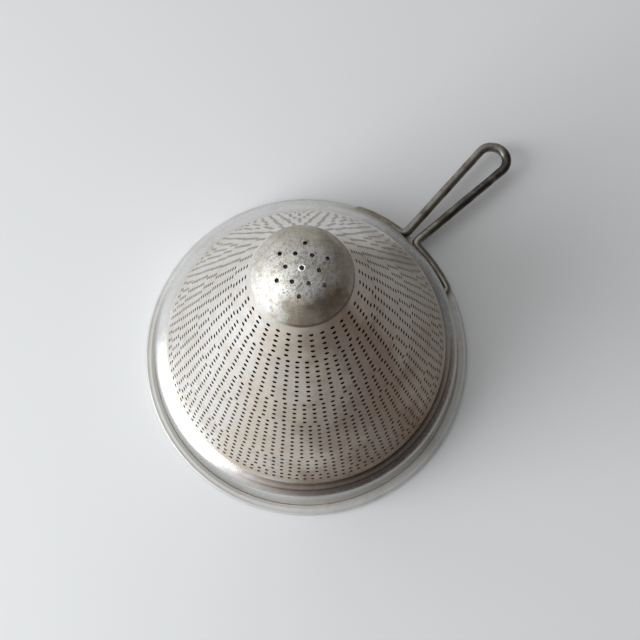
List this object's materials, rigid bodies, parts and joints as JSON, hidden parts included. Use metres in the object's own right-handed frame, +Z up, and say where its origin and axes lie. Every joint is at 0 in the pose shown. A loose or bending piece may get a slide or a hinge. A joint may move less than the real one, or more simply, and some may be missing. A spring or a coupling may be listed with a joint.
{
  "type": "conical food strainer",
  "caption": "Perforated aluminium cone sieve with a domed tip, a polished collar, a rolled rim and a bent wire handle, resting upside down on its rim.",
  "frame": {"origin": "on the table, under the centre of the whole object's box; the sieve's own upright axis is at x = -0.0412", "axes": "+Z up along the sieve's axis, from the rim to the tip; +X towards the handle's loop"},
  "size_m": [0.2794, 0.1968, 0.1982],
  "materials": {
    "stained_aluminium": "worn and stained, half-matt",
    "matte_aluminium": "matt, with a light tan patina",
    "polished_aluminium": "polished, with fine turning marks",
    "dark_steel": "worn plating, dark patina"
  },
  "bodies": {
    "root": {"tip_dome": "stained_aluminium", "strainer_cone": "matte_aluminium", "collar_band": "polished_aluminium", "rolled_rim": "polished_aluminium", "rim_wire": "dark_steel", "handle_wire": "dark_steel"}
  },
  "joints": []
}
